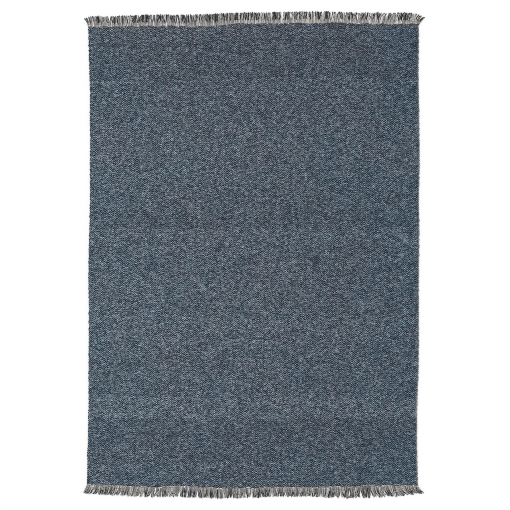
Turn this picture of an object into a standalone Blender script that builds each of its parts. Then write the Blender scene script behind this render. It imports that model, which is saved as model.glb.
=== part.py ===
"""A flatweave rug lying flat: the woven field, and a fringe of warp ends along each of its two short sides.

Metres, +Z up, +X across the rug and +Y along it. The rug lies on the plane z = 0, with the middle of its
bounding box over the origin.
"""

import bmesh
import bpy
import numpy as np
from mathutils import Vector

# The woven field, as it was cut from the loom.
FIELD_WIDTH = 1.700
FIELD_LENGTH = 2.370
FIELD_THICKNESS = 0.006
RIM_ROUNDING = 0.0018
RIM_STEPS = 1
POINTS_PER_SIDE = 44
POINTS_PER_END = 34

# The heading: the pale band where the warp comes out of the last row of weft, still side by side.
HEADING_DEPTH = 0.017
HEADING_THICKNESS = 0.005
HEADING_GAP = 0.0003

# The locks of loose warp ends beyond the heading.
LOCKS_PER_END = 150
LOCK_WIDTH = 0.0088
LOCK_HEIGHT = 0.0040
LOCK_TOP_SHARE = 0.62
LOCK_CLEARANCE = 0.0016
ROOT_DEPTH = 0.006
ROOT_LIFT = 0.0006
ROOT_MARGIN = 0.0065
LEAN_SCATTER_DEG = 5.0
BEND_SCATTER_DEG = 12.0
SHORTEST_SHARE = 0.75

# How thick a lock is at its stations, from the root inside the heading to the frayed tip.
LOCK_STATIONS = (
    # share of the free length, thickness
    (0.00, 1.00),
    (0.30, 0.96),
    (0.66, 0.86),
    (1.00, 0.52),
)

# Each side edge wanders a little. The wander is outwards from half the width.
SIDE_EDGES = (
    # share of the length from the near end, left wander, right wander
    (0.000, 0.008, -0.006),
    (0.070, 0.006, -0.010),
    (0.130, 0.002, -0.011),
    (0.180, 0.000, -0.009),
    (0.250, 0.000, -0.003),
    (0.360, -0.001, -0.001),
    (0.480, 0.000, -0.001),
    (0.545, -0.003, 0.002),
    (0.600, -0.006, -0.001),
    (0.710, -0.008, 0.003),
    (0.810, -0.007, 0.000),
    (0.890, -0.006, -0.003),
    (0.940, -0.001, -0.002),
    (1.000, 0.001, -0.001),
)

# Each end of the field wanders too, outwards from half the length.
END_EDGES = (
    # share of the width from the left, near wander, far wander
    (0.000, -0.010, -0.008),
    (0.090, -0.005, -0.010),
    (0.190, 0.004, -0.005),
    (0.300, 0.001, -0.007),
    (0.380, 0.007, -0.004),
    (0.445, 0.009, 0.006),
    (0.550, 0.006, 0.008),
    (0.640, 0.005, 0.010),
    (0.760, 0.000, 0.009),
    (0.880, -0.004, 0.006),
    (1.000, -0.009, 0.005),
)

# The fringe on the far side, at +Y: the length of its warp ends from the field on, and how its locks lean.
FAR_FRINGE = (
    # share of the width from the left, length, lean in degrees towards +X
    (0.00, 0.052, -34.0),
    (0.02, 0.058, -20.0),
    (0.06, 0.060, -4.0),
    (0.14, 0.062, 6.0),
    (0.25, 0.063, -3.0),
    (0.38, 0.066, 3.0),
    (0.48, 0.061, 0.0),
    (0.64, 0.063, -3.0),
    (0.76, 0.063, 6.0),
    (0.85, 0.061, 14.0),
    (0.90, 0.064, 30.0),
    (0.94, 0.063, 18.0),
    (0.98, 0.062, 38.0),
    (1.00, 0.046, 62.0),
)

# The fringe on the near side, at -Y.
NEAR_FRINGE = (
    # share of the width from the left, length, lean in degrees towards +X
    (0.00, 0.052, -42.0),
    (0.04, 0.053, -34.0),
    (0.12, 0.055, -26.0),
    (0.22, 0.052, -12.0),
    (0.34, 0.057, -4.0),
    (0.42, 0.055, 4.0),
    (0.54, 0.049, -4.0),
    (0.70, 0.052, 0.0),
    (0.80, 0.064, -4.0),
    (0.87, 0.063, 22.0),
    (0.95, 0.062, 36.0),
    (1.00, 0.058, 50.0),
)

# Colour, roughness and metallic value of each material.
FIELD_FINISH = ((0.085, 0.107, 0.135), 0.95, 0.0)
FRINGE_FINISH = ((0.330, 0.315, 0.300), 0.95, 0.0)

NEAR, FAR = -1, 1


def clear_scene():
    """Removes what the file opened with."""
    for obj in list(bpy.data.objects):
        bpy.data.objects.remove(obj)


def read_table(table, column, at):
    """The column's value at this share, on a smooth curve through the table's rows."""
    shares = np.array([row[0] for row in table])
    values = np.array([row[column] for row in table])
    slopes = np.gradient(values, shares)
    at = np.clip(np.asarray(at, float), shares[0], shares[-1])
    row = np.clip(np.searchsorted(shares, at, side="right") - 1, 0, len(shares) - 2)
    step = shares[row + 1] - shares[row]
    t = (at - shares[row]) / step
    start = values[row] * (1 + 2 * t) * (1 - t) ** 2 + slopes[row] * step * t * (1 - t) ** 2
    end = values[row + 1] * (3 - 2 * t) * t**2 - slopes[row + 1] * step * (1 - t) * t**2
    return start + end


def on_cloth(across, along):
    """The point of the field at these shares of its width and length, 0 to 1 from the near left corner."""
    left = -FIELD_WIDTH / 2 - read_table(SIDE_EDGES, 1, along)
    right = FIELD_WIDTH / 2 + read_table(SIDE_EDGES, 2, along)
    near = -FIELD_LENGTH / 2 - read_table(END_EDGES, 1, across)
    far = FIELD_LENGTH / 2 + read_table(END_EDGES, 2, across)
    return left + (right - left) * across, near + (far - near) * along


def finish_material(name, finish):
    colour, roughness, metallic = finish
    material = bpy.data.materials.new(name)
    material.use_nodes = True
    shader = material.node_tree.nodes["Principled BSDF"]
    shader.inputs["Base Color"].default_value = (*colour, 1.0)
    shader.inputs["Roughness"].default_value = roughness
    shader.inputs["Metallic"].default_value = metallic
    return material


def flat_outline(name, points, thickness, rounding=0.0):
    """A slab of this thickness on z = 0, with the outline's points and a rounded rim."""
    curve = bpy.data.curves.new(name, "CURVE")
    curve.dimensions = "2D"
    curve.fill_mode = "BOTH"
    curve.extrude = thickness / 2 - rounding
    curve.bevel_depth = rounding
    curve.bevel_resolution = RIM_STEPS
    curve.offset = -rounding
    spline = curve.splines.new("POLY")
    spline.points.add(len(points) - 1)
    for spot, (x, y) in zip(spline.points, points):
        spot.co = (x, y, 0.0, 1.0)
    spline.use_cyclic_u = True
    slab = bpy.data.objects.new(name, curve)
    slab.location.z = thickness / 2
    return slab


def as_mesh(obj, collection):
    """The curve object made a welded mesh object in the same place."""
    collection.objects.link(obj)
    bpy.context.view_layer.update()
    graph = bpy.context.evaluated_depsgraph_get()
    mesh = bpy.data.meshes.new_from_object(obj.evaluated_get(graph))
    made = bpy.data.objects.new(obj.name + "_mesh", mesh)
    made.matrix_world = obj.matrix_world.copy()
    collection.objects.link(made)
    name = obj.name
    bpy.data.objects.remove(obj)
    made.name = name
    weld(mesh)
    return made


def weld(mesh, within=1e-5):
    """Joins the loose caps of a curve's mesh to its sides."""
    shape = bmesh.new()
    shape.from_mesh(mesh)
    bmesh.ops.remove_doubles(shape, verts=shape.verts, dist=within)
    bmesh.ops.recalc_face_normals(shape, faces=shape.faces)
    shape.to_mesh(mesh)
    shape.free()


def field_outline():
    """Round the field's edge: along the near end, up the right side, back along the far end, down the left."""
    ends = np.linspace(0.0, 1.0, POINTS_PER_END, endpoint=False)
    sides = np.linspace(0.0, 1.0, POINTS_PER_SIDE, endpoint=False)
    legs = ((ends, 0.0), (1.0, sides), (1.0 - ends, 1.0), (0.0, 1.0 - sides))
    points = []
    for across, along in legs:
        xs, ys = np.broadcast_arrays(*on_cloth(across, along))
        points += list(zip(xs, ys))
    return points


def end_edge(side, across, past=0.0):
    """The point this far past the field's end, near or far, at this share of the width."""
    x, y = on_cloth(across, 0.0 if side == NEAR else 1.0)
    return x, y + side * past


def heading_edge(side, table, across, depth=HEADING_DEPTH):
    """The point of the heading this deep from the field. The warp leans here by half as much as further out."""
    x, y = end_edge(side, across)
    lean = np.radians(read_table(table, 2, across)) / 2
    return x + np.sin(lean) * depth, y + side * np.cos(lean) * depth


def heading_outline(side, table):
    """The pale band's outline, from just past the field's end to the roots of the locks."""
    across = np.linspace(0.0, 1.0, POINTS_PER_END + 1)
    inner = np.stack(end_edge(side, across, HEADING_GAP), axis=1)
    outer = np.stack(heading_edge(side, table, across), axis=1)
    return [*map(tuple, inner), *map(tuple, outer[::-1])]


def lock_paths(side, table, seed):
    """The locks' centre lines on the floor, as an array of lock, station and x, y, thickness.

    A lock starts inside the heading, leaves it at half its lean, and has turned to its full lean by its tip.
    Where the locks lean far they stand closer together, so there they are thinner and scatter less.
    """
    chance = np.random.default_rng(seed)
    margin = ROOT_MARGIN / FIELD_WIDTH
    across = np.linspace(margin, 1.0 - margin, LOCKS_PER_END)
    table_lean = np.radians(read_table(table, 2, across))
    thickness = np.cos(table_lean)
    scatter = np.radians(chance.normal(0, 1, (2, LOCKS_PER_END))) * thickness**3
    lean = table_lean + scatter[0] * LEAN_SCATTER_DEG
    bend = scatter[1] * BEND_SCATTER_DEG
    free = read_table(table, 1, across) - HEADING_DEPTH
    x, y = heading_edge(side, table, across)
    inside = heading_edge(side, table, across, HEADING_DEPTH - ROOT_DEPTH)
    paths = [np.stack([*inside, thickness * LOCK_STATIONS[0][1]], axis=1)]
    reached = 0.0
    for share, thinning in LOCK_STATIONS[1:]:
        middle = (share + reached) / 2
        turned = lean * (0.5 + 0.5 * middle) + bend * (middle - 0.5)
        x = x + np.sin(turned) * free * (share - reached)
        y = y + side * np.cos(turned) * free * (share - reached)
        paths.append(np.stack([x, y, thickness * thinning], axis=1))
        reached = share
    paths = stand_apart(np.stack(paths, axis=1))
    shorter = chance.uniform(SHORTEST_SHARE, 1.0, (LOCKS_PER_END, 1))
    paths[:, -1, :2] = paths[:, -2, :2] + (paths[:, -1, :2] - paths[:, -2, :2]) * shorter
    return paths


def stand_apart(paths):
    """Moves locks sideways where two would touch, working from the middle of the rug out to both corners."""
    middle = LOCKS_PER_END // 2
    for station in range(1, len(LOCK_STATIONS)):
        run = paths[:, station] - paths[:, station - 1]
        slant = np.hypot(run[:, 0], run[:, 1]) / np.abs(run[:, 1])
        needed = (LOCK_WIDTH * paths[:, station, 2] + LOCK_CLEARANCE) * slant
        for lock in range(middle + 1, LOCKS_PER_END):
            least = paths[lock - 1, station, 0] + (needed[lock - 1] + needed[lock]) / 2
            paths[lock, station, 0] = max(paths[lock, station, 0], least)
        for lock in range(middle - 1, -1, -1):
            most = paths[lock + 1, station, 0] - (needed[lock + 1] + needed[lock]) / 2
            paths[lock, station, 0] = min(paths[lock, station, 0], most)
    return paths


def lock_section(collection):
    """The four-sided section of a lock, flat below and narrower on top, with its foot on the path."""
    curve = bpy.data.curves.new("lock_section", "CURVE")
    curve.dimensions = "2D"
    spline = curve.splines.new("POLY")
    half, top = LOCK_WIDTH / 2, LOCK_WIDTH / 2 * LOCK_TOP_SHARE
    corners = ((-half, 0.0), (half, 0.0), (top, LOCK_HEIGHT), (-top, LOCK_HEIGHT))
    spline.points.add(len(corners) - 1)
    for spot, (x, y) in zip(spline.points, corners):
        spot.co = (x, y, 0.0, 1.0)
    spline.use_cyclic_u = True
    section = bpy.data.objects.new("lock_section", curve)
    section.hide_render = True
    section.display_type = "WIRE"
    collection.objects.link(section)
    return section


def locks(name, paths, section):
    """All the locks of one fringe as one curve object, a spline for each lock."""
    curve = bpy.data.curves.new(name, "CURVE")
    curve.dimensions = "3D"
    curve.twist_mode = "Z_UP"
    curve.bevel_mode = "OBJECT"
    curve.bevel_object = section
    curve.use_fill_caps = True
    for path in paths:
        spline = curve.splines.new("POLY")
        spline.points.add(len(path) - 1)
        for station, (x, y, thickness) in enumerate(path):
            spline.points[station].co = (x, y, ROOT_LIFT if station == 0 else 0.0, 1.0)
            spline.points[station].radius = thickness
    return bpy.data.objects.new(name, curve)


def fringe(name, side, table, seed, material, section, parts, cutters):
    """A heading with its locks fused into its outer edge."""
    heading = as_mesh(flat_outline(name, heading_outline(side, table), HEADING_THICKNESS), parts)
    strands = as_mesh(locks(name + "_locks", lock_paths(side, table, seed), section), cutters)
    strands.hide_render = True
    strands.display_type = "WIRE"
    join = heading.modifiers.new("roots", "BOOLEAN")
    join.operation = "UNION"
    join.solver = "EXACT"
    join.object = strands
    heading.data.materials.append(material)
    return heading


def woven_field(material, parts):
    field = flat_outline("woven_field", field_outline(), FIELD_THICKNESS, RIM_ROUNDING)
    field = as_mesh(field, parts)
    field.data.materials.append(material)
    return field


def centre_over_origin(parts, cutters):
    """Puts the middle of the rug's bounding box over the origin."""
    bpy.context.view_layer.update()
    graph = bpy.context.evaluated_depsgraph_get()
    corners = []
    for obj in parts.objects:
        shown = obj.evaluated_get(graph)
        corners += [shown.matrix_world @ Vector(corner) for corner in shown.bound_box]
    low = [min(corner[axis] for corner in corners) for axis in range(2)]
    high = [max(corner[axis] for corner in corners) for axis in range(2)]
    for obj in (*parts.objects, *cutters.objects):
        obj.location.x -= (low[0] + high[0]) / 2
        obj.location.y -= (low[1] + high[1]) / 2


def main():
    clear_scene()
    parts = bpy.data.collections.new("flatweave_rug")
    cutters = bpy.data.collections.new("helpers")
    for collection in (parts, cutters):
        bpy.context.scene.collection.children.link(collection)
    wool = finish_material("blue_and_grey_wool", FIELD_FINISH)
    cotton = finish_material("pale_warp", FRINGE_FINISH)
    section = lock_section(cutters)
    woven_field(wool, parts)
    fringe("far_fringe", FAR, FAR_FRINGE, 11, cotton, section, parts, cutters)
    fringe("near_fringe", NEAR, NEAR_FRINGE, 23, cotton, section, parts, cutters)
    centre_over_origin(parts, cutters)


main()
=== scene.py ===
"""The look of a flatweave rug in blue and grey point twill, on a pale floor, seen from straight above."""

import collections
import math

import bpy
import numpy as np
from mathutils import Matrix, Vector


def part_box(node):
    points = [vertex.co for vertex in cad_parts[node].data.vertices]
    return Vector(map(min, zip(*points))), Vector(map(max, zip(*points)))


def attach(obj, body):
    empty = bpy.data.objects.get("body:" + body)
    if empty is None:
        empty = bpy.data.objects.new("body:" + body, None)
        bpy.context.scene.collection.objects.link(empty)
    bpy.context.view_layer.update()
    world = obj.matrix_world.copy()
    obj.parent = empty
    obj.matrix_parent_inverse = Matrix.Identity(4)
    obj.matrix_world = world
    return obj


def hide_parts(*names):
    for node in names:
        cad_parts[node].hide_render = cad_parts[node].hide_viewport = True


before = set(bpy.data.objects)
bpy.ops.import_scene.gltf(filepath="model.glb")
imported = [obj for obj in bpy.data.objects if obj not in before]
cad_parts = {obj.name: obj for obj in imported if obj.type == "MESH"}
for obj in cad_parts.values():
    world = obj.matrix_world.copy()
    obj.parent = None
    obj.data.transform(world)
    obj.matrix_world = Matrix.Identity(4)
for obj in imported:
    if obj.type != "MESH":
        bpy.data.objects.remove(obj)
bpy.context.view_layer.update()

# The photograph's frame, and where the middle of the rug's bounding box is in it.
PHOTO_PIXELS = 510
METRES_PER_PIXEL = 0.005145
RUG_MIDDLE_PIXEL = (253.55, 255.25)
LENS_MM, SENSOR_MM = 85.0, 36.0
FILTER_PIXELS = 0.85

# The studio: half the floor's side, how pale it is, and the lights.
FLOOR_HALF = 100.0
FLOOR_LIGHT = 0.92
STUDIO_STRENGTH = 0.80
KEY_STRENGTH = 1.15
KEY_SIZE_DEG = 50
KEY_TURNS_DEG = (-24, -30, 0)

# The twill: threads across and along, its lift plan and its relief.
WARP_THREADS = 588
PICKS = 908
WARP_PITCH = 0.00290
PICK_PITCH = 0.00262
REPEAT_WARPS = 14
FLOAT_PICKS = 2
FIELD_LOW, FIELD_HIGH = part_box("woven_field")
CLOTH_THICKNESS = FIELD_HIGH.z
CLOTH_WIDTH = 1.700
FLOAT_END_POWER = 3.0
RIB_HEIGHT = 0.00042
BEATING_WAVES = (
    # picks, turns per warp, turns per pick, share of a turn at the near left corner
    (0.34, 0.0131, 0.0052, 0.10),
    (0.30, -0.0088, 0.0104, 0.35),
    (0.26, 0.0043, 0.0147, 0.80),
    (0.22, 0.0196, -0.0121, 0.55),
)
RIB_FADE_PICKS = 8
WAVER_SCALE = 0.16
WAVER_THREADS = (0.8, 2.0, 0.0)
# Where each thread's fibres are drawn from, as a factor and a sum, and how fast a weft run's shade drifts.
WARP_KEY, PICK_KEY = (0.137, 0.0), (0.119, 70.0)
WEFT_RUN_STEPS = (0.141, 7.31)
SELVEDGE_ROUNDING = 0.0032
SELVEDGE_LOW_SHARE = 0.42
SELVEDGE_ANGLES_DEG = (0, 35, 65, 90)
SELVEDGE_SEED = 5
WEFT_TURN = 0.0007
WEFT_TURN_SCATTER = 0.0012
WEFT_TURN_BLEND = 1.4
UNDERSIDE_COLUMNS = 5
UNDERSIDE_INSET = 0.6

# The fringe, as the solids have it: the heading's depth and the locks.
HEADING_DEPTH = 0.017
HEADING_GAP = 0.0003
LAST_START = HEADING_DEPTH - 0.001
LOCKS_PER_END = 150
ROOT_MARGIN = 0.0065
LEAN_SCATTER_DEG = 5.0
BEND_SCATTER_DEG = 12.0
SHORTEST_SHARE = 0.75
# A lock's free length is its table's, times the first number plus the second times its own draw.
FREE_LENGTH = (0.66, 0.34)
FAR_FRINGE = (
    # share of the width from the left, length, lean in degrees towards +X
    (0.00, 0.052, -34.0),
    (0.02, 0.058, -20.0),
    (0.06, 0.060, -4.0),
    (0.14, 0.062, 6.0),
    (0.25, 0.063, -3.0),
    (0.38, 0.066, 3.0),
    (0.48, 0.061, 0.0),
    (0.64, 0.063, -3.0),
    (0.76, 0.063, 6.0),
    (0.85, 0.061, 14.0),
    (0.90, 0.064, 30.0),
    (0.94, 0.063, 18.0),
    (0.98, 0.062, 38.0),
    (1.00, 0.046, 62.0),
)
NEAR_FRINGE = (
    # share of the width from the left, length, lean in degrees towards +X
    (0.00, 0.052, -42.0),
    (0.04, 0.053, -34.0),
    (0.12, 0.055, -26.0),
    (0.22, 0.052, -12.0),
    (0.34, 0.057, -4.0),
    (0.42, 0.055, 4.0),
    (0.54, 0.049, -4.0),
    (0.70, 0.052, 0.0),
    (0.80, 0.064, -4.0),
    (0.87, 0.063, 22.0),
    (0.95, 0.062, 36.0),
    (1.00, 0.058, 50.0),
)
FAR_SEED, NEAR_SEED = 11, 23
NEAR, FAR = -1, 1
# The heading's strip and the twined row on it.
STRIP_HEIGHT = 0.0034
STRIP_COLUMNS = 336
STRIP_RAGGED = 0.0016
# Painted shade: the strip's pale dimmed, as it is seen in shade between the heading's yarns.
STRIP_PAINTED_SHADE = {FAR: 0.60, NEAR: 0.76}
STRIP_WEFT_DEPTH = {FAR: 0.0040, NEAR: 0.0010}
STRIP_WEFT_FADE = 0.0008
STRIP_SECTION = (
    # depth as a share of the heading's, height as a share of the strip's
    (0.00, 0.00),
    (0.00, 0.75),
    (0.02, 1.00),
    (0.20, 1.00),
    (0.25, 1.00),
    (0.55, 1.00),
    (0.90, 0.72),
    (1.00, 0.30),
    (1.00, 0.00),
)
# The places of the section, from its first, that have the weft's colour.
STRIP_WEFT_PLACES = 4
TWINING_TURNS = 252
TWINING_RADIUS = 0.0018
TWINING_DEPTH = {FAR: 0.0042, NEAR: -0.0016}
TWINING_HEIGHT = {FAR: 0.0034, NEAR: 0.0050}
TWINING_LIGHT = {FAR: (0.10, 1.20), NEAR: (0.30, 1.30)}
TWINING_OVERLAP = 1.15
TWINING_SLANT = 0.0016
TWINING_ARCH = 0.0011
TWINING_SCATTER = 0.0008
TWINING_SIZES = (0.75, 1.1)
TWINING_SWELL = (0.6, 0.95, 1.0, 0.95, 0.6)
TWINING_SIDES = 6
JOIN_WAVER = {FAR: 0.0026, NEAR: 0.0018}
JOIN_WAVER_TURNS = 5
JOIN_SEED = 40

# The loose yarns stand in tufts, which stray and curl together, and each yarn a little on its own.
PALE_YARNS = 504
UNDER_YARNS, UNDER_STRAY = 300, 0.3
TUFTS_PER_END = 300
STRAY_LEAN_DEG = {FAR: 8.0, NEAR: 13.0}
CURL_DEG = 15.0
WILD_SHARE = 0.15
WILD_TIMES = 2.4
OWN_LEAN_DEG = 6.0
OWN_CURL_DEG = 9.0
YARN_TAPER = ((0.0, 1.0), (0.65, 0.97), (0.93, 0.88), (1.0, 0.42))
YARN_SIZES = (0.8, 1.15)
YARN_STANDS_AT = (0.3, 0.7)
YARN_SEED_STEP = 100
YARN_PLACE_SPREAD = 20.0
HEADING_STATIONS = 3
FREE_STATIONS = 12
WAVE_LENGTH = 0.021
WAVE_WIDTH = 0.0006
WAVE_SPEED = 3
GATHER_SHARE = 0.35
GATHER_SPEED = 1.3
CORNER_SHARE = 0.02
PAIR_PULL = 0.0011
PAIR_PULL_TIMES = (0.2, 1.6)
LOWEST_LAYER = 1.15
DEEP_LAYER = 0.0028
DESCENT = {FAR: 3.4, NEAR: 1.8}
# How much further than its lock a yarn leans near the corners.
SPLAY = {
    # share of the width from the left, degrees towards +X
    FAR: ((0.0, 0.0), (1.0, 0.0)),
    NEAR: ((0.0, 0.0), (0.84, 0.0), (0.93, 5.0), (1.0, 18.0)),
}

# The yarn itself: how it shines, how its plies turn and how its fibres lie.
SHEEN_ROUGHNESS, SPECULAR = 0.5, 0.2
PLY_LENGTH = 0.0036
PLY_SLANT = 900.0
FIBRES_PER_METRE = 1700.0
FIBRE_STRETCH = 6.0
FIBRE_LIGHT = (1.9, 0.05)
# Painted shade: the loose yarn darker in the grooves between its plies.
YARN_PLY_GROOVE_SHADE = (0.50, 0.70)
YARN_MOTTLES_PER_METRE = 110.0
YARN_PLY_RELIEF = 0.80
YARN_BUMP = (0.8, 0.0008)

# Yarn colours as they look in the photograph: red, green and blue in sRGB steps from 0 to 255.
PALE_DYES = (
    (196, 195, 193), (180, 177, 173), (166, 166, 167), (152, 150, 147), (182, 174, 167),
    (212, 211, 210),
)
DARK_DYES = ((26, 32, 38), (38, 43, 49), (16, 38, 48), (50, 51, 54), (78, 74, 72))
DEEP_DYES = {
    FAR: ((12, 22, 28), (16, 32, 39)),
    NEAR: ((40, 48, 62), (54, 62, 75)),
}
# Painted shade: the under yarns greyer and darker than the pale ones, as they lie beneath them.
UNDER_SHADE_DYES = ((84, 84, 86), (112, 109, 107), (130, 126, 122), (66, 70, 76))
TWINING_DYES = ((206, 206, 208), (184, 186, 192), (222, 220, 218), (160, 160, 166))
SELVEDGE_DYE = (196, 195, 196)
STRIP_WEFT_DYE = (66, 76, 88)
# How light the field's two yarns are, as greys, and the colour that the cloth has at each lightness.
WEFT_TONES = (
    # place on the scale from dark to light, grey
    (0.00, 4),
    (0.30, 19),
    (0.65, 57),
    (1.00, 124),
)
WARP_TONES = (
    # place on the scale from dark to light, grey
    (0.00, 72),
    (0.30, 105),
    (0.70, 145),
    (1.00, 204),
)
CLOTH_DYES = (
    # grey, the bluest wool, the most lilac wool
    (6, (0, 8, 28), (4, 6, 22)),
    (30, (2, 31, 53), (14, 29, 48)),
    (60, (33, 60, 80), (45, 58, 76)),
    (90, (68, 90, 103), (80, 88, 98)),
    (130, (110, 129, 141), (122, 127, 137)),
    (180, (160, 177, 189), (172, 175, 185)),
    (230, (210, 226, 235), (222, 224, 231)),
)

# How the cloth's tone, light and hue vary. A pair is a factor and what is then added.
WEFT_RUN_TONE = (4.5, -1.92)
WEFT_FLOAT_TONE = 0.36
WARP_RUN_TONE = (0.25, 0.025)
WARP_FLOAT_TONE = 0.80
# Painted light: the cloth darker towards the right, as light falling off away from the left.
PAINTED_LIGHT_FALLOFF = (-0.13, 1.0)
ENDS_LIGHT = (-0.05, 0.966)
VERY_ENDS_LIGHT = -0.044
BLOTCH_SCALE, BLOTCH_DETAIL, BLOTCH_ROUGHNESS = 15.0, 4.0, 0.62
BLOTCH_LIGHT = (0.66, 0.67)
# Painted shade: the cloth's yarn darker in the grooves between its plies.
PLY_GROOVE_SHADE = (0.34, 0.80)
# Painted shade: each float darker at its sides and where it dives under, from its height.
FLOAT_GAP_SHADE = (0.96, 0.297)
NEAR_PICKS_LIGHT = (0.13, 0.65)
FAR_PICKS_LIGHT = (-0.035, 0.86 + 0.035 * PICKS)
# Painted shade: the last warps darker where the selvedge rounds down.
SIDE_WARPS_SHADE = (0.08, 0.72)
# The right selvedge's last warps mixed towards a lighter grey.
RIGHT_SELVEDGE_LIGHTER = (-0.36, 0.95)
RIGHT_LIGHTER_BY_BLOTCH = 0.9
GREYED_END_PICKS = (-0.1, 0.6)
LILAC_AT_SIDES = -0.50
LILAC_AT_FAR_END = 0.06
LILAC_SCALE, LILAC_DETAIL, LILAC_ROUGHNESS = 3.0, 5.0, 1.0
LILAC_PATCH = (3.2, -1.05)
CLOTH_FIBRE_RELIEF, CLOTH_PLY_RELIEF = 0.45, 0.30
CLOTH_BUMP = (0.9, 0.0011)

# The weft's dye lots, drawn by chance: bands a little lighter or darker, bluer or more lilac.
LOT_SEED = 3
LOT_PICKS = (30, 52)
LOT_LIGHT_SPREAD = 0.045
LOT_LILAC_SPREAD = 0.04

# The kinds of loose yarn at each end, the lowest first. A bunch of more than one yarn stands in a tuft
# drawn by chance, and stray is how much of its tuft's straying a yarn follows. Reach is a share of the
# lock's own free length, light multiplies the dye, start is a depth in the heading and layer is how high
# it lies past it: each has its least and its most. Height is how high it lies in the heading, and wide
# and high are its radii.
YARN_FIELDS = "dyes count bunch stray reach light start height layer wide high sides"
Yarns = collections.namedtuple("Yarns", YARN_FIELDS)


def pale_yarns(**own):
    """An end's pale yarns, from what is its own."""
    own = {"layer": (0.0, 0.0022), "wide": 0.0014, "high": 0.0014, "sides": 5, **own}
    return Yarns(PALE_DYES, PALE_YARNS, 1, 1.0, **own)


def dark_yarns(**own):
    """An end's dark yarns, which stand in bunches."""
    return Yarns(DARK_DYES, stray=1.0, wide=0.0014, high=0.0014, sides=5, **own)


def under_yarns(**own):
    """The short yarns under the others, which are broader and hardly stray."""
    # Their colours are darker as painted shade beneath the yarns above.
    own = {"height": 0.0018, "layer": (0.0, 0.0006), "wide": 0.0026, "high": 0.0014, "sides": 4, **own}
    return Yarns(UNDER_SHADE_DYES, UNDER_YARNS, 1, UNDER_STRAY, **own)


FAR_YARNS = (
    under_yarns(reach=(0.97, 1.10), light=(0.45, 1.05), start=(0.013, 0.016)),
    dark_yarns(
        count=360, bunch=3, reach=(1.00, 1.09), light=(0.35, 1.02), start=(0.014, 0.016),
        height=0.0030, layer=(0.0010, 0.0026),
    ),
    pale_yarns(reach=(0.91, 1.05), light=(0.50, 1.50), start=(0.0036, 0.0066), height=0.0038),
)
NEAR_YARNS = (
    under_yarns(reach=(0.82, 0.97), light=(0.65, 1.50), start=(0.009, 0.012)),
    dark_yarns(
        count=330, bunch=2, reach=(0.84, 1.10), light=(0.28, 0.88), start=(0.003, 0.011),
        height=0.0041, layer=(0.0008, 0.0024),
    ),
    pale_yarns(reach=(0.83, 1.06), light=(0.32, 1.44), start=(0.000, 0.003), height=0.0042),
)
# Tufts, counted from the left, whose dark yarns have the deep dyes.
DEEP_TUFTS = {FAR: (49, 50, 52, 53), NEAR: (90, 92, 94, 96)}


def linear(colour):
    """An sRGB colour, in steps from 0 to 255, as linear light."""
    share = np.asarray(colour, float) / 255
    return np.where(share <= 0.04045, share / 12.92, ((share + 0.055) / 1.055) ** 2.4)


def smooth(share):
    """A smooth step: three times the square less twice the cube, held between 0 and 1."""
    share = np.clip(share, 0, 1)
    return share * share * (3 - 2 * share)


def read_table(table, column, at):
    """The column's value at this share, on a smooth curve through the table's rows."""
    shares = np.array([row[0] for row in table])
    values = np.array([row[column] for row in table])
    slopes = np.gradient(values, shares)
    at = np.clip(np.asarray(at, float), shares[0], shares[-1])
    row = np.clip(np.searchsorted(shares, at, side="right") - 1, 0, len(shares) - 2)
    step = shares[row + 1] - shares[row]
    t = (at - shares[row]) / step
    start = values[row] * (1 + 2 * t) * (1 - t) ** 2 + slopes[row] * step * t * (1 - t) ** 2
    end = values[row + 1] * (3 - 2 * t) * t**2 - slopes[row + 1] * step * (1 - t) * t**2
    return start + end


def outline_of_field():
    """The solid's outline as four edges: the sides as x along the length, the ends as y across the width.

    The rim's points stand at even shares of each side, so an edge is its points in order.
    """
    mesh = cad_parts["woven_field"].data
    points = np.zeros(len(mesh.vertices) * 3, np.float32)
    mesh.vertices.foreach_get("co", points)
    points = np.unique(np.round(points.reshape(-1, 3), 5), axis=0)
    wall = points[np.abs(points[:, 2] - CLOTH_THICKNESS / 2) < CLOTH_THICKNESS / 4]
    rim = np.unique(wall[:, :2], axis=0)
    at = np.arctan2(rim[:, 1], rim[:, 0])
    corner_ways = ((-1, -1), (1, -1), (1, 1), (-1, 1))
    corners = [rim[np.argmax(rim @ np.array(way))] for way in corner_ways]
    near_left, near_right, far_right, far_left = (math.atan2(c[1], c[0]) for c in corners)
    runs = {
        "near": rim[(at >= near_left) & (at <= near_right)],
        "far": rim[(at >= far_right) & (at <= far_left)],
        "right": rim[(at >= near_right) & (at <= far_right)],
        "left": rim[(at >= far_left) | (at <= near_left)],
    }
    along = {"near": 0, "far": 0, "right": 1, "left": 1}
    return {
        name: run[np.argsort(run[:, along[name]]), 1 - along[name]]
        for name, run in runs.items()
    }


EDGES = outline_of_field()


def edge(name, share):
    """An edge's place at this share of its run."""
    values = EDGES[name]
    return np.interp(share, np.linspace(0, 1, len(values)), values)


def on_cloth(across, along):
    """The point of the field at these shares of its width and length, 0 to 1 from the near left corner."""
    left, right = edge("left", along), edge("right", along)
    near, far = edge("near", across), edge("far", across)
    return left + (right - left) * across, near + (far - near) * along


def make_piece(name, points, faces, replaces, material):
    """A mesh object from points and faces, shaded smooth, riding on the rug in a node's place."""
    mesh = bpy.data.meshes.new(name)
    mesh.from_pydata(points.reshape(-1, 3).tolist(), [], faces)
    mesh.validate()
    mesh.update()
    mesh.shade_smooth()
    mesh.materials.append(material)
    piece = bpy.data.objects.new(name, mesh)
    bpy.context.scene.collection.objects.link(piece)
    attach(piece, "root")
    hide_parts(replaces)
    return piece


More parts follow.
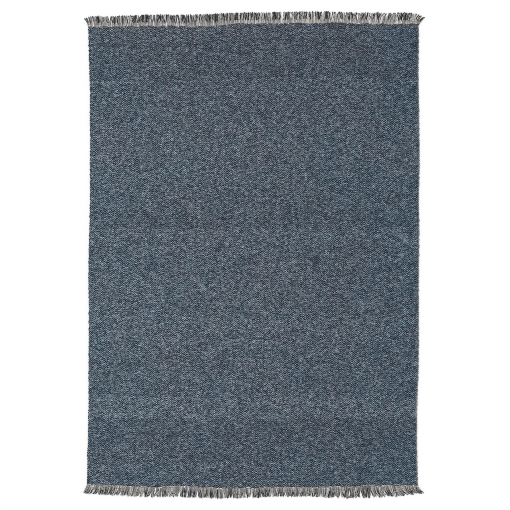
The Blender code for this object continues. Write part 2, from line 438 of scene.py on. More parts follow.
def add_node(tree, kind, inputs=(), **settings):
    """A node of this kind. Its inputs, by name or place, are values or other nodes' outputs."""
    node = tree.nodes.new(kind)
    for name, value in settings.items():
        setattr(node, name, value)
    for key, value in dict(inputs).items():
        if isinstance(value, bpy.types.NodeSocket):
            tree.links.new(value, node.inputs[key])
        else:
            node.inputs[key].default_value = value
    return node


def calc(tree, operation, *values):
    """The result of a Math node on these values."""
    return add_node(tree, "ShaderNodeMath", enumerate(values), operation=operation).outputs[0]


def vector_calc(tree, operation, *values):
    """The result of a Vector Math node on these vectors."""
    return add_node(tree, "ShaderNodeVectorMath", enumerate(values), operation=operation).outputs[0]


def product(tree, *values):
    """These values multiplied together."""
    result = values[0]
    for value in values[1:]:
        result = calc(tree, "MULTIPLY", result, value)
    return result


def scaled(tree, value, times, plus):
    """A value times a number, plus a number."""
    return calc(tree, "MULTIPLY_ADD", value, times, plus)


def vector(tree, x=0.0, y=0.0, z=0.0):
    return add_node(tree, "ShaderNodeCombineXYZ", {"X": x, "Y": y, "Z": z}).outputs[0]


def parts(tree, value):
    """The three numbers of a vector."""
    return add_node(tree, "ShaderNodeSeparateXYZ", {0: value}).outputs


def chance(tree, x, y, z=0.0):
    """A random value from 0 to 1 that belongs to these three whole numbers."""
    return add_node(tree, "ShaderNodeTexWhiteNoise", {"Vector": vector(tree, x, y, z)}).outputs["Value"]


def noise(tree, place, scale, detail=2.0, roughness=0.5):
    inputs = {"Vector": place, "Scale": scale, "Detail": detail, "Roughness": roughness}
    return add_node(tree, "ShaderNodeTexNoise", inputs).outputs["Fac"]


def ramp(tree, at, steps, interpolation="LINEAR"):
    """A colour ramp through these steps, each a place from 0 to 1 and a colour in linear light."""
    node = add_node(tree, "ShaderNodeValToRGB", {"Fac": at})
    node.color_ramp.interpolation = interpolation
    elements = node.color_ramp.elements
    while len(elements) < len(steps):
        elements.new(0.5)
    for element, (place, colour) in zip(elements, steps):
        element.position = place
        element.color = (*colour, 1.0)
    return node.outputs["Color"]


def colour_steps(tree, at, steps):
    """A colour ramp through these steps, each a place from 0 to 1 and an sRGB colour."""
    return ramp(tree, at, [(place, linear(colour)) for place, colour in steps])


def weft_lots():
    """Each lot of weft: its first pick, its light and how much more lilac it is, drawn by chance."""
    random = np.random.default_rng(LOT_SEED)
    first, lots = 0.0, []
    while first < PICKS:
        lots.append((first, random.normal(1.0, LOT_LIGHT_SPREAD), random.normal(0.0, LOT_LILAC_SPREAD)))
        first += random.uniform(*LOT_PICKS)
    return lots


def weft_lot(tree, pick):
    """This pick's lot's light and hue, from a stepped ramp: half the light in red, the hue in green."""
    steps = [(first / PICKS, (light / 2, 0.5 + lilac, 0.0)) for first, light, lilac in weft_lots()]
    lot = ramp(tree, scaled(tree, pick, 1 / PICKS, 0.0), steps, "CONSTANT")
    light, lilac, _ = parts(tree, lot)
    return scaled(tree, light, 2.0, 0.0), scaled(tree, lilac, 1.0, -0.5)


def mix_colours(tree, share, first, second):
    """Two colours mixed by a share from 0 to 1."""
    node = add_node(tree, "ShaderNodeMix", data_type="RGBA")
    sockets = {socket.identifier: socket for socket in node.inputs}
    for key, value in (("Factor_Float", share), ("A_Color", first), ("B_Color", second)):
        if isinstance(value, bpy.types.NodeSocket):
            tree.links.new(value, sockets[key])
        else:
            sockets[key].default_value = value
    return next(socket for socket in node.outputs if socket.identifier == "Result_Color")


def brightened(tree, colour, times):
    """A colour times a number."""
    node = add_node(tree, "ShaderNodeVectorMath", {0: colour, "Scale": times}, operation="SCALE")
    return node.outputs[0]


def new_group(name, inputs, outputs):
    """A node group with these named sockets, and its input and output nodes."""
    group = bpy.data.node_groups.new(name, "ShaderNodeTree")
    for kind, sockets in (("INPUT", inputs), ("OUTPUT", outputs)):
        for socket, socket_type in sockets.items():
            group.interface.new_socket(socket, in_out=kind, socket_type=socket_type)
    return group, group.nodes.new("NodeGroupInput"), group.nodes.new("NodeGroupOutput")


def spun_yarn_group():
    """Spun and plied yarn, from a place on it: aside from and above its middle, and along it, in metres.

    Fibre is a value about 0.5 in streaks that lie along the yarn. Ply is round over each ply, from 0 in the
    grooves to 1: the size of a sine that climbs across the yarn as it runs on.
    """
    outputs = {"Fibre": "NodeSocketFloat", "Ply": "NodeSocketFloat"}
    group, given, made = new_group("spun_yarn", {"Place": "NodeSocketVector"}, outputs)
    aside, _, run = parts(group, given.outputs["Place"])
    streaks = (FIBRES_PER_METRE, FIBRES_PER_METRE, FIBRES_PER_METRE / FIBRE_STRETCH)
    drawn = vector_calc(group, "MULTIPLY", given.outputs["Place"], streaks)
    group.links.new(noise(group, drawn, 1.0, 3.0, 0.65), made.inputs["Fibre"])
    turned = scaled(group, run, math.pi / PLY_LENGTH, scaled(group, aside, PLY_SLANT, 0.0))
    group.links.new(calc(group, "ABSOLUTE", calc(group, "SINE", turned)), made.inputs["Ply"])
    return group


def spun_yarn(tree, place):
    """The fibre and the ply of the yarn at this place."""
    node = add_node(tree, "ShaderNodeGroup", {}, node_tree=SPUN_YARN)
    tree.links.new(place, node.inputs["Place"])
    return node.outputs["Fibre"], node.outputs["Ply"]


SPUN_YARN = spun_yarn_group()


def float_shape(tree, aside, along):
    """A float's height: round across the yarn and round towards its two ends, where it dives under."""
    off = scaled(tree, aside, 2.0, -1.0)
    end = calc(tree, "POWER", calc(tree, "ABSOLUTE", scaled(tree, along, 2.0, -1.0)), FLOAT_END_POWER)
    left = calc(tree, "SUBTRACT", scaled(tree, product(tree, off, off), -1.0, 1.0), end)
    return calc(tree, "SQRT", calc(tree, "MAXIMUM", left, 0.0))


def beaten(warp, pick):
    """How many picks the weft is beaten closer or looser here: a sum of sines of the warp and the pick."""
    return sum(
        size * np.sin(2 * np.pi * (by_warp * warp + by_pick * pick + start))
        for size, by_warp, by_pick, start in BEATING_WAVES
    )


def beaten_nodes(tree, warp, pick):
    """The same sum as beaten gives, in nodes."""
    total = 0.0
    for size, by_warp, by_pick, start in BEATING_WAVES:
        turns = scaled(tree, warp, by_warp, scaled(tree, pick, by_pick, start))
        total = scaled(tree, calc(tree, "SINE", scaled(tree, turns, 2 * math.pi, 0.0)), size, total)
    return total


def twill_group():
    """Point twill, two over and two under, with its place counted in threads: x in warps and y in picks.

    The threads first waver a little, and the picks also draw together and apart as beaten says. The lift
    moves one pick for each warp, and turns back every half repeat, where two neighbours have the same
    lift. A weft float that meets such a turn runs on as one with the float past it. The group gives
    which thread is on top, how high it stands, a random value of that float, one that drifts along each
    pick, for the weft's own shades, the pick, and the place on the thread in metres.
    """
    outputs = dict.fromkeys(("Warp On Top", "Height", "Float Chance", "Weft Run", "Pick"), "NodeSocketFloat")
    outputs["Yarn Place"] = "NodeSocketVector"
    group, given, made = new_group("point_twill", {"Threads": "NodeSocketVector"}, outputs)
    threads = given.outputs["Threads"]
    inputs = {"Vector": threads, "Scale": WAVER_SCALE, "Detail": 2.0}
    waver = add_node(group, "ShaderNodeTexNoise", inputs).outputs["Color"]
    waver = vector_calc(group, "SUBTRACT", waver, (0.5, 0.5, 0.5))
    wavered = vector_calc(group, "ADD", threads, vector_calc(group, "MULTIPLY", waver, WAVER_THREADS))
    drawn = vector(group, 0.0, beaten_nodes(group, *parts(group, threads)[:2]))
    place = parts(group, vector_calc(group, "ADD", wavered, drawn))
    warp, pick = calc(group, "FLOOR", place[0]), calc(group, "FLOOR", place[1])
    in_warp, in_pick = calc(group, "FRACT", place[0]), calc(group, "FRACT", place[1])
    half_repeat = REPEAT_WARPS / 2
    turned = calc(group, "PINGPONG", scaled(group, warp, 1.0, 0.5), half_repeat)
    counted = calc(group, "ADD", calc(group, "ROUND", scaled(group, turned, 1.0, -0.5)), pick)
    wale = calc(group, "FLOOR", calc(group, "DIVIDE", counted, 2 * FLOAT_PICKS))
    step = calc(group, "SUBTRACT", counted, scaled(group, wale, 2 * FLOAT_PICKS, 0.0))
    warp_up = calc(group, "LESS_THAN", step, FLOAT_PICKS - 0.5)
    leg = calc(group, "FLOOR", calc(group, "DIVIDE", warp, half_repeat))
    rising = calc(group, "LESS_THAN", calc(group, "FLOORED_MODULO", leg, 2.0), 0.5)
    warp_along = calc(group, "DIVIDE", calc(group, "ADD", step, in_pick), FLOAT_PICKS)
    from_start = calc(group, "SUBTRACT", step, FLOAT_PICKS)
    from_end = calc(group, "SUBTRACT", 2 * FLOAT_PICKS - 1, step)
    ahead = calc(group, "SUBTRACT", from_start, from_end)
    weft_step = calc(group, "MULTIPLY_ADD", rising, ahead, from_end)
    weft_along = calc(group, "DIVIDE", calc(group, "ADD", weft_step, in_warp), FLOAT_PICKS)
    in_leg = calc(group, "SUBTRACT", warp, scaled(group, leg, half_repeat, 0.0))
    first_of_leg, first_of_float = (calc(group, "LESS_THAN", value, 0.5) for value in (in_leg, weft_step))
    from_turn = product(group, first_of_leg, first_of_float)
    to_turn = calc(group, "GREATER_THAN", calc(group, "ADD", in_leg, weft_step), half_repeat - 0.5)
    runs_on = calc(group, "ADD", from_turn, to_turn)
    second_half = calc(group, "COMPARE", in_leg, weft_step, 0.5)
    first_warp = calc(group, "SUBTRACT", warp, scaled(group, second_half, FLOAT_PICKS, weft_step))
    weft_along = calc(group, "MULTIPLY_ADD", runs_on, calc(group, "SUBTRACT", 0.5, weft_along), weft_along)

    def top_thread(for_warp, for_weft):
        """The warp's value where the warp is on top, and the weft's where the weft is."""
        return calc(group, "MULTIPLY_ADD", warp_up, calc(group, "SUBTRACT", for_warp, for_weft), for_weft)

    height = top_thread(float_shape(group, in_warp, warp_along), float_shape(group, in_pick, weft_along))
    warp_aside = scaled(group, in_warp, WARP_PITCH, -WARP_PITCH / 2)
    aside = top_thread(warp_aside, scaled(group, in_pick, PICK_PITCH, -PICK_PITCH / 2))
    run = top_thread(scaled(group, place[1], PICK_PITCH, 0.0), scaled(group, place[0], WARP_PITCH, 0.0))
    thread_key = top_thread(scaled(group, warp, *WARP_KEY), scaled(group, pick, *PICK_KEY))
    yarn_place = vector(group, aside, 0.0, calc(group, "ADD", run, thread_key))
    one_float = top_thread(chance(group, warp, wale, 1.0), chance(group, first_warp, pick, 2.0))
    by_warp, by_pick = WEFT_RUN_STEPS
    along_pick = vector(group, scaled(group, place[0], by_warp, 0.0), scaled(group, pick, by_pick, 0.0))
    weft_run = noise(group, along_pick, 1.0, 1.0)
    for name, value in zip(outputs, (warp_up, height, one_float, weft_run, pick, yarn_place)):
        group.links.new(value, made.inputs[name])
    return group


TWILL = twill_group()


def new_material(name, roughness, sheen):
    """A material with an empty tree but for its shader and output."""
    material = bpy.data.materials.new(name)
    material.use_nodes = True
    shader = material.node_tree.nodes["Principled BSDF"]
    shader.inputs["Roughness"].default_value = roughness
    shader.inputs["Sheen Weight"].default_value = sheen
    shader.inputs["Sheen Roughness"].default_value = SHEEN_ROUGHNESS
    shader.inputs["Specular IOR Level"].default_value = SPECULAR
    return material, material.node_tree, shader


def finish_material(tree, shader, colour, height, strength, distance):
    """Joins the colour and the bump to the shader."""
    tree.links.new(colour, shader.inputs["Base Color"])
    bump = add_node(tree, "ShaderNodeBump", {"Height": height, "Strength": strength, "Distance": distance})
    tree.links.new(bump.outputs[0], shader.inputs["Normal"])


def wool_twill():
    """Blue weft and grey-lilac warp in point twill, each float dyed a little differently.

    Over the weave lie the weft's lots, soft patches of hue that turn bluer towards both sides and more
    lilac at the far end, blotches of light and dark, painted shade in the gaps between floats and in the
    ply grooves, a painted fall of light that darkens the right, and a darkening towards the ends. The last
    picks are darker and greyer, the last warps darker with painted shade where the selvedge rounds down,
    and the right selvedge is lighter.
    """
    material, tree, shader = new_material("wool_twill", 0.92, 0.12)
    threads = add_node(tree, "ShaderNodeUVMap", uv_map="threads").outputs["UV"]
    place = add_node(tree, "ShaderNodeTexCoord").outputs["Object"]
    twill = add_node(tree, "ShaderNodeGroup", node_tree=TWILL)
    tree.links.new(threads, twill.inputs["Threads"])
    fibre, ply = spun_yarn(tree, twill.outputs["Yarn Place"])
    one_float = twill.outputs["Float Chance"]
    run = scaled(tree, twill.outputs["Weft Run"], *WEFT_RUN_TONE)
    weft_at = scaled(tree, one_float, WEFT_FLOAT_TONE, run)
    weft = colour_steps(tree, weft_at, [(at, (grey,) * 3) for at, grey in WEFT_TONES])
    warp_at = scaled(tree, one_float, WARP_FLOAT_TONE, scaled(tree, run, *WARP_RUN_TONE))
    warp = colour_steps(tree, warp_at, [(at, (grey,) * 3) for at, grey in WARP_TONES])
    tone = mix_colours(tree, twill.outputs["Warp On Top"], weft, warp)
    across, along, _ = parts(tree, place)
    # Painted light: darker towards the right, standing in for the light's fall-off.
    painted_falloff = scaled(tree, across, *PAINTED_LIGHT_FALLOFF)
    squared = product(tree, along, along)
    steep = product(tree, squared, squared, squared)
    far_lilac = product(tree, steep, scaled(tree, along, 1.0, 1.0))
    ends = scaled(tree, steep, VERY_ENDS_LIGHT, scaled(tree, squared, *ENDS_LIGHT))
    blotch = noise(tree, place, BLOTCH_SCALE, BLOTCH_DETAIL, BLOTCH_ROUGHNESS)
    blotch = scaled(tree, blotch, *BLOTCH_LIGHT)
    lot_light, lot_lilac = weft_lot(tree, twill.outputs["Pick"])
    # The fibres' streaks times painted shade in the ply grooves.
    mottle = product(tree, scaled(tree, fibre, *FIBRE_LIGHT), scaled(tree, ply, *PLY_GROOVE_SHADE))
    # Painted shade in the gaps between floats, from each float's height.
    shade = scaled(tree, twill.outputs["Height"], *FLOAT_GAP_SHADE)
    from_left, pick_at, _ = parts(tree, threads)
    from_right = scaled(tree, from_left, -1.0, WARP_THREADS)
    from_side = calc(tree, "MINIMUM", from_left, from_right)
    near_picks = calc(tree, "MINIMUM", scaled(tree, pick_at, *NEAR_PICKS_LIGHT), 1.0)
    far_picks = calc(tree, "MINIMUM", scaled(tree, pick_at, *FAR_PICKS_LIGHT), 1.0)
    # Painted shade on the last warps, where the selvedge rounds down.
    side_warps_shade = calc(tree, "MINIMUM", scaled(tree, from_side, *SIDE_WARPS_SHADE), 1.0)
    right_lighter = calc(tree, "MAXIMUM", scaled(tree, from_right, *RIGHT_SELVEDGE_LIGHTER), 0.0)
    # The lightness holds the yarns' own tones, painted shade in gaps, grooves and selvedges, and the painted
    # fall of light.
    value = product(tree, painted_falloff, ends, lot_light, blotch, mottle, shade, near_picks, far_picks, side_warps_shade)
    light = calc(tree, "MULTIPLY", tone, value)
    bluest = colour_steps(tree, light, [(float(linear(grey)), blue) for grey, blue, _ in CLOTH_DYES])
    lilac = colour_steps(tree, light, [(float(linear(grey)), lilac) for grey, _, lilac in CLOTH_DYES])
    patch = scaled(tree, far_lilac, LILAC_AT_FAR_END, lot_lilac)
    patch = scaled(tree, product(tree, across, across), LILAC_AT_SIDES, patch)
    drawn = noise(tree, place, LILAC_SCALE, LILAC_DETAIL, LILAC_ROUGHNESS)
    patch = calc(tree, "ADD", patch, scaled(tree, drawn, *LILAC_PATCH))
    cloth = mix_colours(tree, patch, bluest, lilac)
    from_end = calc(tree, "MINIMUM", pick_at, scaled(tree, pick_at, -1.0, PICKS))
    greyed = calc(tree, "MAXIMUM", scaled(tree, from_end, *GREYED_END_PICKS), 0.0)
    cloth = mix_colours(tree, greyed, cloth, light)
    selvedge = brightened(tree, tuple(linear(SELVEDGE_DYE)), value)
    # The right selvedge lighter, more so where the blotches are light.
    right_lighter = product(tree, right_lighter, scaled(tree, blotch, RIGHT_LIGHTER_BY_BLOTCH, 0.0))
    cloth = mix_colours(tree, right_lighter, cloth, selvedge)
    height = scaled(tree, ply, CLOTH_PLY_RELIEF, twill.outputs["Height"])
    height = scaled(tree, fibre, CLOTH_FIBRE_RELIEF, height)
    finish_material(tree, shader, cloth, height, *CLOTH_BUMP)
    return material


def loose_yarn():
    """Undyed and dyed warp yarn, with its fibres and the turns of its plies.

    The piece's attribute yarn_colour holds its dye, and yarn_place the place on the yarn, in metres:
    aside, above, and the way run along it. The grooves between the plies are darkened as painted shade.
    """
    material, tree, shader = new_material("loose_warp_yarn", 0.95, 0.2)
    own = add_node(tree, "ShaderNodeAttribute", attribute_name="yarn_colour").outputs["Color"]
    place = add_node(tree, "ShaderNodeAttribute", attribute_name="yarn_place").outputs["Vector"]
    fibre, ply = spun_yarn(tree, place)
    run = parts(tree, place)[2]
    along = vector(tree, scaled(tree, run, YARN_MOTTLES_PER_METRE, 0.0))
    mottle = scaled(tree, noise(tree, along, 1.0, 2.0), *FIBRE_LIGHT)
    # Painted shade in the ply grooves, times the fibres' streaks.
    plies, fibres = scaled(tree, ply, *YARN_PLY_GROOVE_SHADE), scaled(tree, fibre, *FIBRE_LIGHT)
    colour = brightened(tree, own, product(tree, plies, fibres, mottle))
    finish_material(tree, shader, colour, scaled(tree, ply, YARN_PLY_RELIEF, fibre), *YARN_BUMP)
    return material


def warp_lift(warp):
    """The picks the twill has moved by this warp: a triangle wave that the shader's lift steps along."""
    half = REPEAT_WARPS / 2
    return half - 0.5 - np.abs(warp % REPEAT_WARPS - half)


def field_columns(roll):
    """Where the cloth's columns stand, in warps: over the top at the zigzag's points, then back under it.

    At each selvedge four columns stand at a quarter turn's cosines of the roll, the selvedge's rounding.
    """
    curve = roll * (1 - np.cos(np.radians(SELVEDGE_ANGLES_DEG)))
    points_at = np.arange(0, WARP_THREADS, REPEAT_WARPS // 2)
    inner = points_at[(points_at > roll + 1) & (points_at < WARP_THREADS - roll - 1)]
    top = np.concatenate([curve, inner, WARP_THREADS - curve[::-1]])
    inset = roll * UNDERSIDE_INSET
    under = np.linspace(WARP_THREADS - inset, inset, UNDERSIDE_COLUMNS)
    return np.concatenate([top, under]), len(top)


def woven_field(material):
    """The cloth: a ribbed upper face with rows along the zigzag, rounded selvedges and a flat underside.

    Between two columns a row climbs or falls by half a repeat, so each face lies along a rib. The height
    is a cosine of the pick counted from the rib, with the weft beaten closer or looser, and it fades at
    both ends. The edge columns curve down to the underside, and the outermost follows the weft's turns: a
    cosine along the picks, and a scatter of its own.
    """
    roll = SELVEDGE_ROUNDING / ((FIELD_HIGH.x - FIELD_LOW.x) / WARP_THREADS)
    columns, top_count = field_columns(roll)
    on_top = (np.arange(len(columns)) < top_count)[:, None]
    picks = np.arange(PICKS + 1)
    lift = np.where(on_top[:, 0], warp_lift(columns), 0.0)
    from_side = np.minimum(columns, WARP_THREADS - columns)[:, None]
    rounded = np.sqrt(np.clip(1 - (1 - np.clip(from_side / roll, 0, 1)) ** 2, 0, 1))
    phase = (picks + beaten(columns[:, None], picks) + lift[:, None] - 1) / (2 * FLOAT_PICKS)
    fade = np.clip(np.minimum(picks, PICKS - picks) / RIB_FADE_PICKS, 0, 1)
    ribs = RIB_HEIGHT * np.cos(2 * np.pi * phase) * fade * rounded**2
    high_share = SELVEDGE_LOW_SHARE + (1 - SELVEDGE_LOW_SHARE) * rounded
    crown = CLOTH_THICKNESS * high_share - RIB_HEIGHT
    z = np.where(on_top, crown + ribs, 0.0)
    random = np.random.default_rng(SELVEDGE_SEED)
    scatter = random.normal(0, WEFT_TURN_SCATTER, (2, PICKS + 1))
    scatter = (scatter + np.roll(scatter, 1, axis=1)) / WEFT_TURN_BLEND
    turn = WEFT_TURN * np.cos(np.pi * picks / FLOAT_PICKS) + scatter
    across = np.broadcast_to(columns[:, None], z.shape)
    along = np.broadcast_to(picks, z.shape)
    x, y = on_cloth(across / WARP_THREADS, along / PICKS)
    outward = np.where(across < WARP_THREADS / 2, -turn[0], turn[1])
    x = x + outward * np.clip(1 - from_side / (2 * roll), 0, 1)
    points = np.stack([x, y, z], axis=-1)
    faces = sheared_faces(lift, PICKS)
    cloth = make_piece("woven_field_cloth", points, faces, "woven_field", material)
    layer = cloth.data.uv_layers.new(name="threads")
    corner = np.zeros(len(cloth.data.loops), np.int32)
    cloth.data.loops.foreach_get("vertex_index", corner)
    threads = np.stack([across, along], axis=-1).reshape(-1, 2)
    layer.uv.foreach_set("vector", threads[corner].astype(np.float32).ravel())
    return cloth


def sheared_faces(lift, rows):
    """The faces between neighbouring columns of a closed ring of columns, each column rows + 1 points high.

    A face joins row r of one column to the row of the next that lies on the same rib, which is r less the
    change in lift. Past an end, rows are held at it, and faces that have lost both heights are left out.
    """
    count = len(lift)
    faces = []
    for column in range(count):
        after = (column + 1) % count
        shift = int(round(lift[column] - lift[after]))
        r = np.arange(-rows, 2 * rows)
        here, there = column * (rows + 1), after * (rows + 1)
        a0, a1 = here + np.clip(r, 0, rows), here + np.clip(r + 1, 0, rows)
        b0, b1 = there + np.clip(r + shift, 0, rows), there + np.clip(r + 1 + shift, 0, rows)
        faces += np.stack([a0, b0, b1, a1], 1)[(a0 != a1) & (b0 != b1)].tolist()
        faces += np.stack([a0, b0, b1], 1)[(a0 == a1) & (b0 != b1)].tolist()
        faces += np.stack([a0, b0, a1], 1)[(a0 != a1) & (b0 == b1)].tolist()
    starts = np.arange(count) * (rows + 1)
    faces.append(starts[::-1].tolist())
    faces.append((starts + rows).tolist())
    return faces


def heading_edge(side, table, across, depth):
    """The heading's point this deep from the field. The warp leans here by half as much as further out."""
    x, y = on_cloth(across, 0.0 if side == NEAR else 1.0)
    lean = np.radians(read_table(table, 2, across)) / 2
    return x + np.sin(lean) * depth, y + side * np.cos(lean) * depth


def lock_forms(table, seed):
    """Each lock's lean, bend and free length, drawn as the solids' are."""
    random = np.random.default_rng(seed)
    margin = ROOT_MARGIN / CLOTH_WIDTH
    across = np.linspace(margin, 1.0 - margin, LOCKS_PER_END)
    table_lean = np.radians(read_table(table, 2, across))
    scatter = np.radians(random.normal(0, 1, (2, LOCKS_PER_END))) * np.cos(table_lean) ** 3
    shorter = random.uniform(SHORTEST_SHARE, 1.0, LOCKS_PER_END)
    lean = table_lean + scatter[0] * LEAN_SCATTER_DEG
    bend = scatter[1] * BEND_SCATTER_DEG
    least, more = FREE_LENGTH
    free = (read_table(table, 1, across) - HEADING_DEPTH) * (least + more * shorter)
    return {"lean": lean, "bend": bend, "free": free}


def tubes(lines, wide, high, sides):
    """Closed tubes along many lines at once: points, faces, and for each point its place on its yarn.

    A tube's section is an ellipse, wide along the floor and high above it, and both its ends close in a
    point. The place on the yarn is how far aside, how far above and how far along the line.
    """
    count, stations = lines.shape[:2]
    way = np.gradient(lines, axis=1)
    way /= np.linalg.norm(way, axis=2, keepdims=True)
    aside = np.cross(way, (0.0, 0.0, 1.0))
    aside /= np.linalg.norm(aside, axis=2, keepdims=True)
    above = np.cross(aside, way)
    angle = np.linspace(0, 2 * np.pi, sides, endpoint=False)
    cosine, sine = np.cos(angle)[:, None], np.sin(angle)[:, None]
    ring = lines[:, :, None] + wide[..., None, None] * cosine * aside[:, :, None]
    ring = ring + high[..., None, None] * sine * above[:, :, None]
    points = np.concatenate([ring.reshape(count, -1, 3), lines[:, :1], lines[:, -1:]], axis=1)
    steps = np.linalg.norm(np.diff(lines, axis=1), axis=2)
    run = np.concatenate([np.zeros((count, 1)), np.cumsum(steps, axis=1)], axis=1)
    place = np.zeros(points.shape)
    place[:, :-2, 0] = (wide[..., None] * np.cos(angle)).reshape(count, -1)
    place[:, :-2, 1] = (high[..., None] * np.sin(angle)).reshape(count, -1)
    place[:, :-2, 2] = np.repeat(run, sides, axis=1)
    place[:, -2, 2], place[:, -1, 2] = run[:, 0], run[:, -1]
    first = np.arange(sides)
    rings = np.arange(stations - 1)[:, None] * sides
    here, beside = rings + first, rings + np.roll(first, -1)
    wall = np.stack([here, here + sides, beside + sides, beside], -1).reshape(-1, 4)
    start_cap = np.stack([np.full(sides, stations * sides), here[0], beside[0]], -1)
    end_cap = np.stack([np.full(sides, stations * sides + 1), beside[-1] + sides, here[-1] + sides], -1)
    base = (np.arange(count) * points.shape[1])[:, None, None]
    faces = (wall + base).reshape(-1, 4).tolist()
    faces += (np.concatenate([start_cap, end_cap]) + base).reshape(-1, 3).tolist()
    return points, faces, place


def free_run(side, root_x, root_y, lean, bend, free, shares):
    """The points of lines that leave their roots and turn as the solids' locks do.

    The direction is half the lean at the root and all of it at the tip, plus the bend times the share of
    the way less a half.
    """
    middle = (shares[1:] + shares[:-1]) / 2
    turned = lean[:, None] * (0.5 + 0.5 * middle) + bend[:, None] * (middle - 0.5)
    step = free[:, None] * np.diff(shares)
    ways = np.stack([np.sin(turned) * step, side * np.cos(turned) * step])
    run = np.concatenate([np.zeros((2, len(lean), 1)), np.cumsum(ways, axis=2)], axis=2)
    return root_x[:, None] + run[0], root_y[:, None] + run[1]


def tuft_forms(side, random):
    """Each tuft's stray and curl in radians: a normal scatter, wider in some tufts."""
    wild = np.where(random.random(TUFTS_PER_END) < WILD_SHARE, WILD_TIMES, 1.0)
    scatter = np.radians(random.normal(0, 1, (2, TUFTS_PER_END))) * wild
    return {"stray": scatter[0] * STRAY_LEAN_DEG[side], "curl": scatter[1] * CURL_DEG}


def yarn_places(side, kind, random):
    """Each yarn's place across the width: evenly spaced, or beside the others of its bunch in a tuft."""
    if kind.bunch == 1:
        return (np.arange(kind.count) + random.uniform(*YARN_STANDS_AT, kind.count)) / kind.count
    drawn = random.permutation(np.setdiff1d(np.arange(TUFTS_PER_END), DEEP_TUFTS[side]))
    chosen = np.concatenate([DEEP_TUFTS[side], drawn])[: kind.count // kind.bunch]
    return (chosen[:, None] + (np.arange(kind.bunch) + 0.5) / kind.bunch).ravel() / TUFTS_PER_END


def join_waver(side):
    """How far out the join wanders at each turn of the twined row: a running mean of a normal scatter."""
    random = np.random.default_rng(side + JOIN_SEED)
    scatter = random.normal(0, 1, TWINING_TURNS + JOIN_WAVER_TURNS - 1)
    mean = np.convolve(scatter, np.ones(JOIN_WAVER_TURNS) / math.sqrt(JOIN_WAVER_TURNS), "valid")
    return mean * JOIN_WAVER[side]


def waver_at(side, across):
    """The join's waver at these shares of the width."""
    return np.interp(across * TWINING_TURNS, np.arange(TWINING_TURNS) + 0.5, join_waver(side))


def yarn_lines(side, table, locks, tufts, across, kind, random):
    """The centre lines of one kind of yarn: from a start in the heading to its edge and along the lock.

    A yarn starts where the join wavers to. Its lean is its lock's, the splay of its place, its tuft's
    stray and a little of its own, and its bend is made up of its lock's, its tuft's curl and its own. It
    draws towards its tuft's middle by a share of the way between, pairs of locks lean together, and it
    waves a little as it goes. Its height goes from its own at the start down to its layer on the floor.
    """
    count = kind.count
    tuft = np.minimum((across * TUFTS_PER_END).astype(int), TUFTS_PER_END - 1)
    start = random.uniform(*kind.start, count) + waver_at(side, across)
    start = np.clip(start, 2 * HEADING_GAP, LAST_START)
    lock = np.minimum((across * LOCKS_PER_END).astype(int), LOCKS_PER_END - 1)
    steady = np.cos(locks["lean"][lock]) ** 2
    own = np.radians(random.normal(0, 1, (2, count)))
    splay = np.radians(read_table(SPLAY[side], 1, across))
    stray = (tufts["stray"][tuft] * kind.stray + own[0] * OWN_LEAN_DEG) * steady
    lean = locks["lean"][lock] + splay + stray
    bend = locks["bend"][lock] + tufts["curl"][tuft] * kind.stray + own[1] * OWN_CURL_DEG
    free = locks["free"][lock] * random.uniform(*kind.reach, count)
    root_x, root_y = heading_edge(side, table, across, HEADING_DEPTH)
    shares = np.linspace(0, 1, FREE_STATIONS + 1)
    x, y = free_run(side, root_x, root_y, lean, bend, free, shares)
    pull = np.where(lock % 2 == 0, PAIR_PULL, -PAIR_PULL)
    pull = pull * random.uniform(*PAIR_PULL_TIMES, LOCKS_PER_END)[lock]
    middle_x, _ = heading_edge(side, table, (tuft + 0.5) / TUFTS_PER_END, HEADING_DEPTH)
    from_corner = np.clip(np.minimum(across, 1 - across) / CORNER_SHARE, 0, 1)
    gather = ((middle_x - root_x) * GATHER_SHARE + pull) * from_corner
    waves = shares * free[:, None] / WAVE_LENGTH + random.random((count, 1))
    x = x + WAVE_WIDTH * np.sin(2 * np.pi * waves) * smooth(shares * WAVE_SPEED)
    x = x + (gather * steady)[:, None] * smooth(shares * GATHER_SPEED)
    way_out = np.arange(HEADING_STATIONS) / HEADING_STATIONS
    in_heading = start[:, None] + (HEADING_DEPTH - start)[:, None] * way_out
    inner_x, inner_y = heading_edge(side, table, across[:, None], in_heading)
    x = np.concatenate([inner_x, x], axis=1)
    y = np.concatenate([inner_y, y], axis=1)
    layer = random.uniform(*kind.layer, (count, 1))
    if kind.bunch > 1:
        layer[: len(DEEP_TUFTS[side]) * kind.bunch] = DEEP_LAYER
    level = kind.high * LOWEST_LAYER + layer
    down = smooth(np.concatenate([np.zeros(HEADING_STATIONS), shares * DESCENT[side]]))
    z = kind.height * (1 - down) + level * down
    return np.stack([x, y, z], axis=-1)


def dyed(palette, count, random, low, high):
    """One linear colour for each yarn, drawn from a palette and made darker or lighter."""
    colours = linear(palette)[random.integers(0, len(palette), count)]
    return colours * random.uniform(low, high, (count, 1))


def loose_yarns(side, table, locks, tufts, kind, random):
    """One kind of loose yarn as tubes, which keep their thickness most of the way and thin to the tip."""
    across = yarn_places(side, kind, random)
    lines = yarn_lines(side, table, locks, tufts, across, kind, random)
    taper = np.interp(np.linspace(0, 1, lines.shape[1]), *zip(*YARN_TAPER))
    thickness = random.uniform(*YARN_SIZES, (kind.count, 1)) * taper
    bunches = kind.count // kind.bunch
    colours = dyed(kind.dyes, bunches, random, *kind.light)
    if kind.bunch > 1:
        deep = len(DEEP_TUFTS[side])
        colours[:deep] = dyed(DEEP_DYES[side], deep, random, 1.0, 1.0)
    tubed = tubes(lines, kind.wide * thickness, kind.high * thickness, kind.sides)
    return (*tubed, np.repeat(colours, kind.bunch, axis=0))


